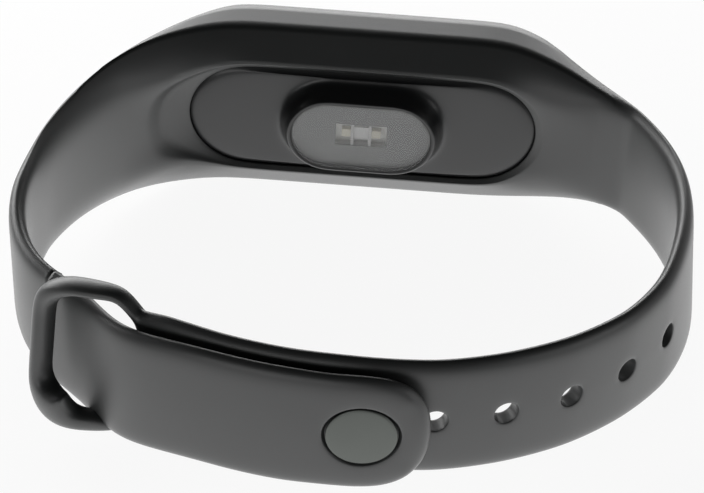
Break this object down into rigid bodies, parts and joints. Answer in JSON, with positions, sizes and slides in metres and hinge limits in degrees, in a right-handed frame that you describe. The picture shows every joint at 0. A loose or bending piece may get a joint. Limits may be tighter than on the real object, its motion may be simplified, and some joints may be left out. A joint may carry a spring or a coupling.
{
  "type": "fitness tracker band",
  "caption": "Soft wristband with a loop and stud clasp that holds a slim removable activity tracker with an optical sensor on its wrist side.",
  "frame": {"origin": "under the middle of the whole band, on the plane it lies on", "axes": "+Z along the wrist hole, +Y from the clasp to the tracker capsule, +X along the capsule"},
  "size_m": [0.0684, 0.0577, 0.0202],
  "materials": {
    "strap_elastomer": "matte, fine moulded grain",
    "stud_metal": "satin dark anodised",
    "capsule_shell": "satin",
    "cover_plastic": "polished",
    "seal_rubber": "matte",
    "inner_plastic": "matte",
    "panel_glass": "polished",
    "flex_film": "satin",
    "contact_metal": "plated",
    "board": "satin",
    "chip_resin": "matte",
    "antenna_ceramic": "matte",
    "cell_wrap": "satin foil",
    "pad_foam": "soft",
    "tab_metal": "satin",
    "window_glass": "polished",
    "film_black": "matte",
    "emitter_resin": "clear",
    "motor_steel": "satin",
    "rotor_metal": "matte"
  },
  "bodies": {
    "band": {"wristband": "strap_elastomer"},
    "strap_end": {"stud_tail": "strap_elastomer", "stud_cap": "stud_metal", "stud_pin": "stud_metal"},
    "capsule": {"rear_shell": "capsule_shell", "front_cover": "cover_plastic", "cover_gasket": "seal_rubber", "display_frame": "inner_plastic", "display_panel": "panel_glass", "display_cable": "flex_film", "touch_electrode": "contact_metal", "main_board": "board", "processor": "chip_resin", "memory_chip": "chip_resin", "motion_sensor": "chip_resin", "antenna": "antenna_ceramic", "battery": "cell_wrap", "battery_pad": "pad_foam", "battery_tabs": "tab_metal", "protection_board": "board", "sensor_window": "window_glass", "window_seal": "seal_rubber", "window_mask": "film_black", "sensor_board": "board", "sensor_leds": "emitter_resin", "photodiode": "chip_resin", "light_barrier": "film_black", "sensor_cable": "flex_film", "charging_contacts": "contact_metal", "motor_can": "motor_steel", "motor_base": "motor_steel", "motor_shaft": "motor_steel"},
    "rotor": {"motor_rotor": "rotor_metal"}
  },
  "joints": [
    {"name": "tracker_release", "type": "slide", "parent": "band", "child": "capsule", "axis": [0, 1, 0], "range_m": [0, 0.012]},
    {"name": "stud_tail_lift", "type": "hinge", "parent": "band", "child": "strap_end", "pos_m": [-0.01591, -0.02608, 0.0101], "axis": [0, 0, -1], "range_deg": [0, 35], "stiffness_Nm_per_rad": 0.004},
    {"name": "motor_spin", "type": "hinge", "parent": "capsule", "child": "rotor", "pos_m": [-0.0129, 0.02305, 0.0101], "axis": [0, 1, 0], "continuous": true}
  ]
}
